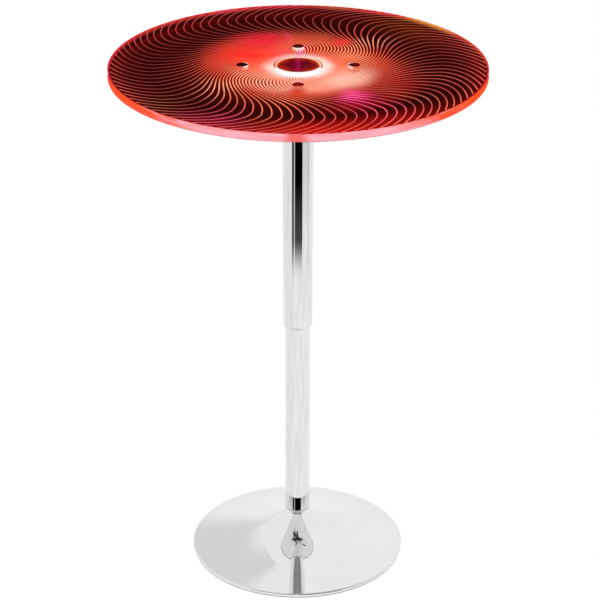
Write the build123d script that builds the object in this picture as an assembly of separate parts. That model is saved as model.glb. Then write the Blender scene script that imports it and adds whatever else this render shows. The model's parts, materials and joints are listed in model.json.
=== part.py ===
from build123d import *
import os
from math import cos, radians, sin

# A round high table with a lit clear top on a gas lift column.
# Lengths are millimetres, angles are degrees. The origin is on the floor, under the column.

# Driving sizes of the whole table
table_height = 1041.0
top_radius = 357.0
base_radius = 214.0
column_radius = 25.0
lift_travel = 330.0
sleeve_bottom = 499.0
overrun = 1.0
full_turn = 360.0

# Clearances
seat_clearance = 0.05
running_clearance = 0.1
moving_gap = 0.3

# Trumpet base
floor_ring_height = 1.5
floor_ring_width = 7.5
floor_ring_inset = 0.5
floor_ring_lip = 3.0
shell_wall = 1.5
rim_height = 8.0
rim_round = 2.0
neck_radius = 21.0
neck_top = 85.0
neck_straight = 3.0
flare_depth = 6.0
flare_pull_radius = 82.0
flare_pull_height = 48.0
dish_pull_radius = 55.0
dish_pull_height = 39.0

# Ballast and the clamp through the base
ballast_edge_gap = 10.5
ballast_bottom = 4.0
ballast_top = 18.0
ballast_gap = 1.0
recess_radius = 32.0
recess_depth = 10.0
spigot_radius = 15.0
spigot_bottom = 3.5
cavity_radius = 11.0
washer_radius = 30.0
washer_thickness = 2.5
base_nut_height = 7.0
base_nut_radius = 24.0
hub_tube_wall = 3.7

# Column, its foot and its guide bush
column_wall = 2.0
sleeve_overlap = 86.0
foot_flange = 2.0
foot_edge = 0.5
foot_plug_height = 20.0
foot_web_bottom = 4.0
foot_web_top = 12.0
bush_length = 87.0
bush_flange = 3.0
bush_end_length = 14.0
bush_relief = 4.0
bush_rib_count = 6
bush_rib_width = 4.0

# Ball thrust bearing at the foot of the piston rod
rod_radius = 5.0
rod_step = 1.0
race_edge = 1.6
race_thickness = 2.6
race_groove_depth = 0.5
ball_radius = 2.2
ball_gap = 0.15
ball_track_radius = 8.2
ball_count = 9
cage_edge = 0.7
cage_thickness = 2.0

# Rod, its clip, its bumper and the piston
clip_washer_radius = 9.0
clip_washer_thickness = 2.2
clip_radius = 7.5
clip_thickness = 1.2
clip_groove_depth = 0.7
clip_mouth = 5.0
rod_tail = 5.0
bumper_radius = 10.5
bumper_height = 19.0
bumper_groove = 1.5
bottom_gap = 1.0
piston_height = 12.0
piston_step_gap = 2.0
piston_seal_height = 4.0
piston_seal_depth = 1.6
rod_head = 2.0

# Gas cylinder and its valve
cylinder_radius = 14.0
cylinder_wall = 2.2
cylinder_taper = 1.2
taper_length = 57.0
gland_height = 22.0
valve_body_height = 33.0
valve_body_drop = 2.0
valve_pin_radius = 3.0
valve_pin_height = 8.0
valve_pin_length = 33.0
valve_pin_chamfer = 1.4

# Clear top, its backing and the four bolts
panel_thickness = 16.0
panel_edge_round = 1.0
light_bore_radius = 42.0
backing_thickness = 2.0
backing_inset = 7.0
pad_thickness = 1.5
pad_radius = 16.0
bolt_circle_radius = 105.0
bolt_count = 4
bolt_radius = 4.0
bolt_hole_radius = 4.6
bolt_head_radius = 7.0
bolt_head_height = 5.0
bolt_tail = 4.0
bolt_washer_radius = 10.4
bolt_washer_thickness = 1.6
counterbore_radius = 11.3
counterbore_depth = 12.0
nut_height = 6.8
nut_radius = 7.5
bolt_cap_drop = 0.2
bolt_cap_thickness = 2.5
bolt_cap_wall = 1.2
bolt_cap_edge = 0.6

# Pressed mount plate under the top
plate_thickness = 3.0
plate_arm_radius = 24.0
plate_centre_radius = 62.0
plate_corner_round = 20.0
plate_lip_depth = 8.0
plate_lip_wall = 2.5

# Light module in the middle of the top
hub_floor_gap = 4.0
hub_floor_thickness = 2.0
hub_wall_gap = 7.5
hub_wall = 2.0
hub_top_drop = 4.1
hub_screw_count = 3
hub_screw_circle = 22.0
hub_screw_radius = 2.0
hub_screw_head_radius = 4.0
hub_screw_head_height = 2.4
hub_screw_length = 9.0
strip_thickness = 0.4
strip_lift = 1.5
strip_top_gap = 1.9
chip_count = 18
chip_size = 5.0
chip_depth = 1.6
light_cap_gap = 1.4
light_cap_thickness = 3.4
light_cap_drop = 0.4
light_cap_skirt = 6.0
light_cap_skirt_wall = 2.2
scallop_count = 24
scallop_radius = 3.4
scallop_depth = 0.9

# Lift housing and taper socket
lever_angle = 45.0
housing_back = 26.0
housing_front = 50.0
housing_half_width = 26.0
housing_depth = 34.0
housing_wall = 2.5
housing_corner = 8.0
socket_wall = 5.0
socket_proud = 1.0
cylinder_top_drop = 3.0
slot_half_width = 7.0
slot_below = 6.0
slot_above = 11.0

# Release lever, seen along its own arm
pivot_offset = 22.0
pivot_rise = 8.0
pivot_radius = 3.0
pivot_head_radius = 5.0
pivot_head_height = 1.6
pivot_tail = 3.0
pivot_clip_thickness = 1.0
lever_hub_radius = 7.0
lever_hub_half_width = 8.0
nose_reach = 6.0
nose_half_width = 6.0
nose_thickness = 5.0
lever_rod_radius = 4.0
lever_bend_at = 62.0
lever_reach = 200.0
lever_end_drop = 23.0
lever_bend_radius = 40.0
grip_length = 76.0
grip_radius = 8.5
grip_waist = 1.2
grip_rib_count = 6
grip_rib_width = 2.4
grip_wall_end = 5.0

# Sleeve over the column
sleeve_bottom_gap = 3.9
sleeve_flare = 1.2
sleeve_wall = 1.2
sleeve_lip_height = 3.5
sleeve_lip_gap = 0.4
glide_height = 24.0
glide_lift = 5.0
collar_height = 12.0

# Battery box under the top, behind the column as seen from the lever
box_near = 78.0
box_wall = 2.0
box_corner = 4.0
tape_thickness = 1.0
tape_margin = 6.0
cover_thickness = 2.0
cell_count = 3
cell_radius = 7.0
cell_length = 49.0
cell_nub_radius = 2.7
cell_nub_length = 1.2
cell_gap = 1.0
cell_side_gap = 0.8
cell_head_gap = 2.7
contact_thickness = 0.5
contact_height = 10.0
contact_spring_radius = 3.6
contact_spring_tip = 2.4
contact_spring_length = 1.6
board_half_width = 20.0
board_length = 20.0
board_thickness = 1.6
board_gap = 1.0
board_drop = 8.0
board_post_radius = 2.0
board_post_inset = 4.0
switch_size = 8.0
switch_height = 4.3
switch_bore_depth = 3.0
button_radius = 5.0
button_proud = 1.5
button_flange_radius = 6.5
button_flange_height = 1.0
button_stem_radius = 2.0
button_stem_entry = 0.8
button_edge = 0.5
cover_screw_radius = 1.4
cover_screw_head_radius = 2.8
cover_screw_head_height = 1.6
cover_screw_length = 9.0
cover_boss_radius = 3.2
cover_boss_embed = 0.3
lead_radius = 1.5
lead_hole_radius = 2.3
lead_rise_at = 32.0
lead_bend_radius = 6.0
lead_gap = 1.5

# Levels worked out from the sizes above, from the top down
panel_bottom = table_height - panel_thickness
backing_bottom = panel_bottom - backing_thickness
plate_top = backing_bottom - pad_thickness
plate_bottom = plate_top - plate_thickness
housing_bottom = plate_bottom - housing_depth
housing_floor = housing_bottom + housing_wall
socket_top = housing_floor + socket_proud
cylinder_top = socket_top - cylinder_top_drop
socket_bottom = cylinder_top - taper_length
pin_top = cylinder_top + valve_pin_height
pivot_height = pin_top + pivot_rise
counterbore_bottom = table_height - counterbore_depth

# Levels worked out from the floor up
shell_bottom = floor_ring_height
foot_seat = neck_top + foot_flange
web_bottom = neck_top + foot_web_bottom
web_top = neck_top + foot_web_top
ball_height = web_top + race_thickness + ball_radius - race_groove_depth
upper_race_bottom = ball_height + ball_radius - race_groove_depth
rod_shoulder = upper_race_bottom + race_thickness
bumper_top = rod_shoulder + bumper_height
cylinder_bottom = bumper_top + bottom_gap + lift_travel
gland_top = cylinder_bottom + gland_height
piston_bottom = gland_top + piston_step_gap
piston_top = piston_bottom + piston_height
column_top = sleeve_bottom + sleeve_overlap
bush_bottom = column_top - bush_length

# Radii worked out from the sizes above
ballast_radius = base_radius - floor_ring_width - ballast_edge_gap
column_bore = column_radius - column_wall
sleeve_bottom_radius = column_radius + sleeve_bottom_gap
sleeve_top_radius = sleeve_bottom_radius + sleeve_flare
rod_end_radius = rod_radius - rod_step
race_radius = ball_track_radius + ball_radius + race_edge
cylinder_bore = cylinder_radius - cylinder_wall
cylinder_top_radius = cylinder_radius - cylinder_taper
socket_radius = cylinder_radius + socket_wall

# Every sub-part by its node name, filled by the sections below
parts = {}


def turned(*points):
    """Solid turned about the column's axis from (radius, height) points."""
    outline = Plane.XZ * Polyline(*points, close=True)
    return revolve(make_face(outline.edges()), Axis.Z)


def tube(outer, inner, bottom, top):
    """Straight tube about the column's axis."""
    return turned((inner, bottom), (outer, bottom), (outer, top), (inner, top))


def rod(radius, bottom, top):
    """Straight round bar about the column's axis."""
    return Pos(0, 0, bottom) * Cylinder(radius, top - bottom, align=(Align.CENTER, Align.CENTER, Align.MIN))


def around(shape, count, start=0.0):
    """Copies of a shape evenly spaced about the column's axis."""
    return [Rot(0, 0, start + full_turn * index / count) * shape for index in range(count)]


def along_lever(shape):
    """Turns a shape drawn with the lever along +X to the lever's real direction."""
    return Rot(0, 0, lever_angle) * shape


def block(x_low, x_high, half_width, bottom, top):
    """Box drawn with the lever along +X, even about the lever's middle plane."""
    held_at = (Align.MIN, Align.CENTER, Align.MIN)
    box = Box(x_high - x_low, half_width + half_width, top - bottom, align=held_at)
    return Pos(x_low, 0, bottom) * box


def rounded_block(x_low, x_high, half_width, bottom, top, corner):
    """Box with round upright corners, drawn with the lever along +X."""
    return fillet(block(x_low, x_high, half_width, bottom, top).edges().filter_by(Axis.Z), corner)


def cross_bar(radius, x, z, y_low, y_high):
    """Round bar square to the lever, drawn with the lever along +X."""
    bar = Cylinder(radius, y_high - y_low, align=(Align.CENTER, Align.CENTER, Align.MIN))
    return Pos(x, y_low, z) * Rot(-full_turn / 4, 0, 0) * bar


# Trumpet base


def trumpet_curve(inset):
    """The trumpet's flare and dish, moved inwards by an inset, from the neck to the rim."""
    neck_end = (neck_radius - inset, neck_top - neck_straight)
    neck_pull = (neck_radius - inset, neck_top - neck_straight - flare_depth - inset / 2)
    flare_pull = (flare_pull_radius - inset / 2, flare_pull_height - inset)
    dish_pull = (dish_pull_radius, dish_pull_height - inset)
    dish_end = (base_radius - rim_round, rim_height - inset)
    return Bezier(neck_end, neck_pull, flare_pull, dish_pull, dish_end)


def make_base_shell():
    """Spun sheet: a neck with a turned-in flange, the trumpet, and a rim with an upright edge."""
    outside = trumpet_curve(0)
    inside = trumpet_curve(shell_wall)
    rim_arc = ThreePointArc(
        outside @ 1,
        (
            base_radius - rim_round + rim_round * sin(radians(full_turn / 8)),
            rim_height - rim_round + rim_round * cos(radians(full_turn / 8)),
        ),
        (base_radius, rim_height - rim_round),
    )
    flange_bore = spigot_radius + moving_gap
    inner_rim = base_radius - shell_wall
    rim_edge = Polyline(
        rim_arc @ 1,
        (base_radius, shell_bottom),
        (inner_rim, shell_bottom),
        (inner_rim, rim_height - rim_round),
        inside @ 1,
    )
    neck_edge = Polyline(
        inside @ 0,
        (neck_radius - shell_wall, neck_top - shell_wall),
        (flange_bore, neck_top - shell_wall),
        (flange_bore, neck_top),
        (neck_radius, neck_top),
        outside @ 0,
    )
    edges = [*outside.edges(), *rim_arc.edges(), *rim_edge.edges(), *inside.edges(), *neck_edge.edges()]
    return revolve(make_face([Plane.XZ * edge for edge in edges]), Axis.Z)


def make_base_ballast():
    """Cast disc that follows the underside of the dish, with a recess for the nut."""
    inset = shell_wall + ballast_gap
    curve = trumpet_curve(inset)
    rest = Polyline(
        curve @ 1,
        ((curve @ 1).X, ballast_bottom),
        (0, ballast_bottom),
        (0, (curve @ 0).Y),
        curve @ 0,
    )
    filled = revolve(make_face([Plane.XZ * edge for edge in [*curve.edges(), *rest.edges()]]), Axis.Z)
    disc = filled & rod(ballast_radius, ballast_bottom, ballast_top)
    disc -= rod(spigot_radius + moving_gap, ballast_bottom - overrun, ballast_top + overrun)
    return disc - rod(recess_radius, ballast_bottom - overrun, ballast_bottom + recess_depth)


def make_floor_ring():
    """Soft ring that the rim of the base stands on, with a lip behind the rim."""
    outer = base_radius - floor_ring_inset
    lip_outer = base_radius - shell_wall - moving_gap
    inner = base_radius - floor_ring_width
    lip_top = floor_ring_height + floor_ring_lip
    return turned(
        (inner, 0),
        (outer, 0),
        (outer, floor_ring_height),
        (lip_outer, floor_ring_height),
        (lip_outer, lip_top),
        (inner, lip_top),
    )


recess_top = ballast_bottom + recess_depth
washer_bottom = recess_top - washer_thickness
parts["base_shell"] = make_base_shell()
parts["base_ballast"] = make_base_ballast()
parts["floor_ring"] = make_floor_ring()
parts["hub_tube"] = tube(
    spigot_radius + hub_tube_wall, spigot_radius + moving_gap, ballast_top, neck_top - shell_wall
)
parts["base_washer"] = tube(washer_radius, spigot_radius + moving_gap, washer_bottom, recess_top)
nut_blank = Pos(0, 0, washer_bottom - base_nut_height) * extrude(
    RegularPolygon(base_nut_radius, 6), base_nut_height
)
nut_bore = rod(spigot_radius + seat_clearance, washer_bottom - base_nut_height - overrun, recess_top)
parts["base_nut"] = nut_blank - nut_bore

# Column, foot and guide bush


def make_column_foot():
    """Turned foot: a spigot through the base, a flange under the tube and a bearing seat."""
    plug_radius = column_bore - seat_clearance
    plug_top = foot_seat + foot_plug_height
    bearing_bore = race_radius + moving_gap
    web_bore = rod_end_radius + moving_gap
    return turned(
        (cavity_radius, spigot_bottom),
        (spigot_radius, spigot_bottom),
        (spigot_radius, neck_top),
        (column_radius - foot_edge, neck_top),
        (column_radius, neck_top + foot_edge),
        (column_radius, foot_seat),
        (plug_radius, foot_seat),
        (plug_radius, plug_top),
        (bearing_bore, plug_top),
        (bearing_bore, web_top),
        (web_bore, web_top),
        (web_bore, web_bottom),
        (cavity_radius, web_bottom),
    )


def make_guide_bush():
    """Long plastic bush with a flange, full ends and a ribbed, relieved middle."""
    outer = column_bore - seat_clearance
    inner = cylinder_radius + running_clearance
    waist = outer - bush_relief
    flange_top = column_top + bush_flange
    body = turned(
        (inner, bush_bottom),
        (outer, bush_bottom),
        (outer, bush_bottom + bush_end_length),
        (waist, bush_bottom + bush_end_length),
        (waist, column_top - bush_end_length),
        (outer, column_top - bush_end_length),
        (outer, column_top),
        (column_radius, column_top),
        (column_radius, flange_top),
        (inner, flange_top),
    )
    rib_low = bush_bottom + bush_end_length
    rib_high = column_top - bush_end_length
    rib = block(waist - overrun, outer - seat_clearance, bush_rib_width / 2, rib_low, rib_high)
    for copy in around(rib, bush_rib_count):
        body += copy
    return body


parts["column_foot"] = make_column_foot()
parts["lower_column"] = tube(column_radius, column_bore, foot_seat, column_top)
parts["guide_bush"] = make_guide_bush()

# Ball thrust bearing


def make_race(bottom, top, bore):
    """Bearing washer with a ball groove in the face towards the balls."""
    groove = Pos(0, 0, ball_height) * Torus(ball_track_radius, ball_radius + ball_gap)
    return tube(race_radius, bore, bottom, top) - groove


def make_bearing_cage():
    """Flat ring with a round pocket for each ball."""
    low = ball_height - cage_thickness / 2
    high = ball_height + cage_thickness / 2
    reach = ball_radius + cage_edge
    ring = tube(ball_track_radius + reach, ball_track_radius - reach, low, high)
    pocket = Pos(ball_track_radius, 0, 0) * rod(ball_radius + ball_gap, low - overrun, high + overrun)
    for copy in around(pocket, ball_count):
        ring -= copy
    return ring


ball = Pos(ball_track_radius, 0, ball_height) * Sphere(ball_radius)
parts["bearing_lower_race"] = make_race(web_top, web_top + race_thickness, rod_end_radius + moving_gap)
parts["bearing_cage"] = make_bearing_cage()
parts["bearing_balls"] = Compound(children=around(ball, ball_count))
parts["bearing_upper_race"] = make_race(
    upper_race_bottom, rod_shoulder, rod_end_radius + running_clearance
)

# Piston rod and what it carries

clip_washer_top = web_bottom - moving_gap
clip_top = clip_washer_top - clip_washer_thickness
clip_bottom = clip_top - clip_thickness
rod_tail_bottom = clip_bottom - rod_tail
groove_radius = rod_end_radius - clip_groove_depth
seal_bottom = piston_bottom + (piston_height - piston_seal_height) / 2
seal_top = seal_bottom + piston_seal_height
piston_radius = cylinder_bore - running_clearance - seat_clearance
seal_bore = piston_radius - piston_seal_depth


def make_piston_rod():
    """Turned rod: a stepped tail with a clip groove, the long shaft and a riveted end."""
    return turned(
        (0, rod_tail_bottom),
        (rod_end_radius, rod_tail_bottom),
        (rod_end_radius, clip_bottom),
        (groove_radius, clip_bottom),
        (groove_radius, clip_top),
        (rod_end_radius, clip_top),
        (rod_end_radius, rod_shoulder),
        (rod_radius, rod_shoulder),
        (rod_radius, piston_bottom),
        (rod_end_radius, piston_bottom),
        (rod_end_radius, piston_top + rod_head),
        (0, piston_top + rod_head),
    )


def make_piston():
    """Piston with a groove for its seal."""
    bore = rod_end_radius + seat_clearance
    return turned(
        (bore, piston_bottom),
        (piston_radius, piston_bottom),
        (piston_radius, seal_bottom),
        (seal_bore, seal_bottom),
        (seal_bore, seal_top),
        (piston_radius, seal_top),
        (piston_radius, piston_top),
        (bore, piston_top),
    )


def make_rod_bumper():
    """Rubber stop round the rod, with one groove so that it gives."""
    inner = rod_radius + seat_clearance
    middle = (rod_shoulder + bumper_top) / 2
    return turned(
        (inner, rod_shoulder),
        (bumper_radius, rod_shoulder),
        (bumper_radius, middle - bumper_groove),
        (bumper_radius - bumper_groove, middle),
        (bumper_radius, middle + bumper_groove),
        (bumper_radius, bumper_top),
        (inner, bumper_top),
    )


clip_ring = tube(clip_radius, groove_radius + seat_clearance, clip_bottom + seat_clearance, clip_top)
clip_gap = block(0, clip_radius + overrun, clip_mouth / 2, clip_bottom - overrun, clip_top + overrun)
parts["piston_rod"] = make_piston_rod()
parts["rod_clip"] = clip_ring - clip_gap
parts["clip_washer"] = tube(clip_washer_radius, rod_end_radius + seat_clearance, clip_top, clip_washer_top)
parts["rod_bumper"] = make_rod_bumper()
parts["piston"] = make_piston()
parts["piston_seal"] = tube(
    cylinder_bore - running_clearance,
    seal_bore + seat_clearance,
    seal_bottom + seat_clearance,
    seal_top - seat_clearance,
)

# Gas cylinder, gland and valve


def make_gas_cylinder():
    """Drawn tube whose top is tapered to wedge in its socket."""
    return turned(
        (cylinder_bore, cylinder_bottom),
        (cylinder_radius, cylinder_bottom),
        (cylinder_radius, socket_bottom),
        (cylinder_top_radius, cylinder_top),
        (cylinder_bore, cylinder_top),
    )


valve_body_top = cylinder_top - valve_body_drop
valve_body_bottom = valve_body_top - valve_body_height
pin_bottom = pin_top - valve_pin_length
parts["gas_cylinder"] = make_gas_cylinder()
parts["cylinder_gland"] = tube(
    cylinder_bore - seat_clearance, rod_radius + running_clearance, cylinder_bottom, gland_top
)
parts["valve_body"] = tube(
    cylinder_bore - seat_clearance, valve_pin_radius + running_clearance, valve_body_bottom, valve_body_top
)
pin_shaft = rod(valve_pin_radius, pin_bottom, pin_top)
parts["valve_pin"] = chamfer(pin_shaft.edges().sort_by(Axis.Z)[-1], valve_pin_chamfer)

# Clear top and backing


def at_bolts(shape):
    """Copies of a shape at the four bolts, right, far, left and near."""
    return around(Pos(bolt_circle_radius, 0, 0) * shape, bolt_count)


def make_tabletop_panel():
    """Clear disc with a bore for the light and four stepped bolt holes."""
    disc = rod(top_radius, panel_bottom, table_height)
    disc = fillet(disc.edges(), panel_edge_round)
    disc -= rod(light_bore_radius, panel_bottom - overrun, table_height + overrun)
    step = rod(counterbore_radius, counterbore_bottom, table_height + overrun)
    hole = rod(bolt_hole_radius, panel_bottom - overrun, table_height)
    for cut in [*at_bolts(step), *at_bolts(hole)]:
        disc -= cut
    return disc


def make_backing_disc():
    """Thin dark disc under the clear one, with the same holes."""
    disc = tube(top_radius - backing_inset, light_bore_radius, backing_bottom, panel_bottom)
    hole = rod(bolt_hole_radius, backing_bottom - overrun, panel_bottom + overrun)
    for cut in at_bolts(hole):
        disc -= cut
    return disc


def make_bolt():
    """Cap screw with a socket in its head."""
    head_bottom = counterbore_bottom + bolt_washer_thickness
    head_top = head_bottom + bolt_head_height
    shank = rod(bolt_radius, plate_bottom - nut_height - bolt_tail, head_bottom)
    head = rod(bolt_head_radius, head_bottom, head_top)
    key = extrude(RegularPolygon(bolt_radius, 6), bolt_head_height)
    return shank + head - Pos(0, 0, head_top - bolt_head_height / 2) * key


def make_bolt_nut():
    """Hexagon nut under the mount plate."""
    blank = Pos(0, 0, plate_bottom - nut_height) * extrude(RegularPolygon(nut_radius, 6), nut_height)
    return blank - rod(bolt_radius + seat_clearance, plate_bottom - nut_height - overrun, plate_bottom)


def make_bolt_cap():
    """Round plastic cap with a skirt, flush with the top of the table."""
    radius = counterbore_radius - moving_gap
    top = table_height - bolt_cap_drop
    under = top - bolt_cap_thickness
    skirt_bottom = counterbore_bottom + bolt_washer_thickness + moving_gap
    inner = radius - bolt_cap_wall
    return turned(
        (0, under),
        (inner, under),
        (inner, skirt_bottom),
        (radius, skirt_bottom),
        (radius, top - bolt_cap_edge),
        (radius - bolt_cap_edge, top),
        (0, top),
    )


washer_top = counterbore_bottom + bolt_washer_thickness
bolt_washer = tube(bolt_washer_radius, bolt_hole_radius, counterbore_bottom, washer_top)
parts["tabletop_panel"] = make_tabletop_panel()
parts["backing_disc"] = make_backing_disc()
parts["top_bolts"] = Compound(children=at_bolts(make_bolt()))
parts["bolt_washers"] = Compound(children=at_bolts(bolt_washer))
parts["bolt_nuts"] = Compound(children=at_bolts(make_bolt_nut()))
parts["bolt_caps"] = Compound(children=at_bolts(make_bolt_cap()))
parts["plate_pads"] = Compound(
    children=at_bolts(tube(pad_radius, bolt_hole_radius, plate_top, backing_bottom))
)

# Mount plate


def plate_outline(inset):
    """Four round-ended arms on a round middle, drawn inwards by an inset."""
    arm_length = bolt_circle_radius + bolt_circle_radius
    arm_width = plate_arm_radius + plate_arm_radius
    arm = SlotCenterToCenter(arm_length, arm_width)
    outline = Circle(plate_centre_radius) + arm + Rot(0, 0, full_turn / 4) * arm
    inner_corners = outline.vertices().filter_by(lambda corner: corner.center().length < bolt_circle_radius)
    corners = fillet(inner_corners, plate_corner_round)
    return offset(corners, -inset) if inset else corners


def make_mount_plate():
    """Pressed spider plate with a turned-down lip all round."""
    lip_bottom = plate_bottom - plate_lip_depth
    blank = Pos(0, 0, lip_bottom) * extrude(plate_outline(0), plate_lip_depth + plate_thickness)
    hollow = Pos(0, 0, lip_bottom) * extrude(plate_outline(plate_lip_wall), plate_lip_depth)
    plate = blank - hollow
    for cut in at_bolts(rod(bolt_hole_radius, plate_bottom - overrun, plate_top + overrun)):
        plate -= cut
    screw_hole = Pos(hub_screw_circle, 0, 0) * rod(
        hub_screw_radius + running_clearance, plate_bottom - overrun, plate_top + overrun
    )
    for cut in around(screw_hole, hub_screw_count, lever_angle):
        plate -= cut
    lead_hole = Pos(-lead_rise_at, 0, 0) * rod(lead_hole_radius, plate_bottom - overrun, plate_top + overrun)
    return plate - along_lever(lead_hole)


parts["mount_plate"] = make_mount_plate()

# Light module

hub_top = table_height - hub_top_drop
hub_floor_radius = light_bore_radius - hub_floor_gap
hub_wall_radius = light_bore_radius - hub_wall_gap
light_cap_radius = light_bore_radius - light_cap_gap
hub_floor_top = plate_top + hub_floor_thickness
strip_bottom = hub_floor_top + strip_lift
strip_top = hub_top - strip_top_gap
strip_radius = hub_wall_radius + running_clearance
chip_radius = strip_radius + strip_thickness
cap_top = table_height - light_cap_drop
cap_under = cap_top - light_cap_thickness


def make_light_hub():
    """Moulded cup that carries the light strip on its wall."""
    hub = turned(
        (0, plate_top),
        (hub_floor_radius, plate_top),
        (hub_floor_radius, hub_floor_top),
        (hub_wall_radius, hub_floor_top),
        (hub_wall_radius, hub_top),
        (hub_wall_radius - hub_wall, hub_top),
        (hub_wall_radius - hub_wall, hub_floor_top),
        (0, hub_floor_top),
    )
    hole = Pos(hub_screw_circle, 0, 0) * rod(
        hub_screw_radius + running_clearance, plate_top - overrun, hub_floor_top + overrun
    )
    for cut in around(hole, hub_screw_count, lever_angle):
        hub -= cut
    return hub


def make_light_cap():
    """Scalloped disc with a skirt that pushes into the hub."""
    skirt_outer = hub_wall_radius - hub_wall - moving_gap
    disc = rod(light_cap_radius, cap_under, cap_top)
    bite_centre = light_cap_radius + scallop_radius - scallop_depth
    bite = Pos(bite_centre, 0, 0) * rod(scallop_radius, cap_under - overrun, cap_top + overrun)
    for cut in around(bite, scallop_count):
        disc -= cut
    skirt = tube(skirt_outer, skirt_outer - light_cap_skirt_wall, cap_under - light_cap_skirt, cap_under)
    return disc + skirt


def make_hub_screw():
    """Pan head screw through the floor of the hub."""
    shank = rod(hub_screw_radius, hub_floor_top - hub_screw_length, hub_floor_top)
    head = rod(hub_screw_head_radius, hub_floor_top, hub_floor_top + hub_screw_head_height)
    return Pos(hub_screw_circle, 0, 0) * (shank + head)


chip = Pos(chip_radius + running_clearance, 0, (strip_bottom + strip_top) / 2) * Box(
    chip_depth, chip_size, chip_size, align=(Align.MIN, Align.CENTER, Align.CENTER)
)
parts["light_hub"] = make_light_hub()
parts["led_strip"] = tube(chip_radius, strip_radius, strip_bottom, strip_top)
parts["led_chips"] = Compound(children=around(chip, chip_count))
parts["light_cap"] = make_light_cap()
parts["hub_screws"] = Compound(children=around(make_hub_screw(), hub_screw_count, lever_angle))

# Lift housing, socket and lever, drawn with the lever along +X and then turned

slot_bottom = pivot_height - slot_below
slot_top = pivot_height + slot_above


def make_lift_housing():
    """Pressed box under the plate, open at the top, with a slot for the lever."""
    outer = rounded_block(
        -housing_back, housing_front, housing_half_width, housing_bottom, plate_bottom, housing_corner
    )
    inner = rounded_block(
        housing_wall - housing_back,
        housing_front - housing_wall,
        housing_half_width - housing_wall,
        housing_floor,
        plate_bottom + overrun,
        housing_corner - housing_wall,
    )
    box = outer - inner
    box -= rod(socket_radius + seat_clearance, housing_bottom - overrun, housing_floor + overrun)
    slot_start = housing_front - housing_wall - overrun
    box -= block(slot_start, housing_front + overrun, slot_half_width, slot_bottom, slot_top)
    reach = housing_half_width + overrun
    return box - cross_bar(pivot_radius + seat_clearance, pivot_offset, pivot_height, -reach, reach)


def make_taper_socket():
    """Turned socket welded through the floor of the housing."""
    wide = cylinder_radius + seat_clearance
    narrow = cylinder_top_radius + seat_clearance
    return turned(
        (wide, socket_bottom),
        (socket_radius, socket_bottom),
        (socket_radius, socket_top),
        (narrow, socket_top),
        (narrow, cylinder_top),
    )


def make_pivot_pin():
    """Headed pin across the housing, grooved for its clip."""
    head_start = -housing_half_width - pivot_head_height
    tail_end = housing_half_width + pivot_tail
    pin = cross_bar(pivot_radius, pivot_offset, pivot_height, -housing_half_width, tail_end)
    return pin + cross_bar(pivot_head_radius, pivot_offset, pivot_height, head_start, -housing_half_width)


def make_pivot_clip():
    """Push-on clip that holds the pin in the housing."""
    low = housing_half_width + running_clearance
    high = low + pivot_clip_thickness
    ring = cross_bar(pivot_head_radius, pivot_offset, pivot_height, low, high)
    return ring - cross_bar(pivot_radius + seat_clearance, pivot_offset, pivot_height, 0, high + overrun)


def make_release_lever():
    """Bar bent down to the hand, with a hub on the pivot and a flat nose over the valve pin."""
    start = (pivot_offset, pivot_height)
    bend = (lever_bend_at, pivot_height)
    end = (lever_reach, pivot_height - lever_end_drop)
    path = Plane.XZ * FilletPolyline(start, bend, end, radius=lever_bend_radius)
    section = Pos(pivot_offset, 0, pivot_height) * Rot(0, full_turn / 4, 0) * Circle(lever_rod_radius)
    bar = sweep(section, path)
    hub = cross_bar(
        lever_hub_radius, pivot_offset, pivot_height, -lever_hub_half_width, lever_hub_half_width
    )
    nose_bottom = pin_top + moving_gap
    nose = block(-nose_reach, pivot_offset, nose_half_width, nose_bottom, nose_bottom + nose_thickness)
    bore = cross_bar(
        pivot_radius + running_clearance,
        pivot_offset,
        pivot_height,
        -lever_hub_half_width - overrun,
        lever_hub_half_width + overrun,
    )
    return bar + hub + nose - bore


def make_lever_grip():
    """Turned plastic grip with ribs and a rounded end, pushed on the bar."""
    waist = grip_radius - grip_waist
    bore = lever_rod_radius + seat_clearance
    rib_pitch = (grip_length - grip_wall_end) / (grip_rib_count + 1)
    body = turned(
        (0, grip_length - grip_wall_end),
        (bore, grip_length - grip_wall_end),
        (bore, 0),
        (waist, 0),
        (waist, grip_length),
        (0, grip_length),
    )
    body = fillet(body.edges().sort_by(Axis.Z)[-1], grip_waist)
    for index in range(grip_rib_count):
        middle = rib_pitch * (index + 1)
        body += tube(grip_radius, waist - overrun, middle - grip_rib_width / 2, middle + grip_rib_width / 2)
    run = lever_reach - lever_bend_at
    bar_end = Plane(
        origin=(lever_reach, 0, pivot_height - lever_end_drop),
        x_dir=(0, 1, 0),
        z_dir=(run, 0, -lever_end_drop),
    )
    return bar_end * Pos(0, 0, grip_wall_end - grip_length + seat_clearance) * body


parts["lift_housing"] = along_lever(make_lift_housing())
parts["taper_socket"] = make_taper_socket()
parts["pivot_pin"] = along_lever(make_pivot_pin())
parts["pivot_clip"] = along_lever(make_pivot_clip())
parts["release_lever"] = along_lever(make_release_lever())
parts["lever_grip"] = along_lever(make_lever_grip())

# Sleeve over the column


def sleeve_radius(height):
    """Outer radius of the conical sleeve at a height."""
    rise = (height - sleeve_bottom) / (housing_bottom - sleeve_bottom)
    return sleeve_bottom_radius + (sleeve_top_radius - sleeve_bottom_radius) * rise


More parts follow.
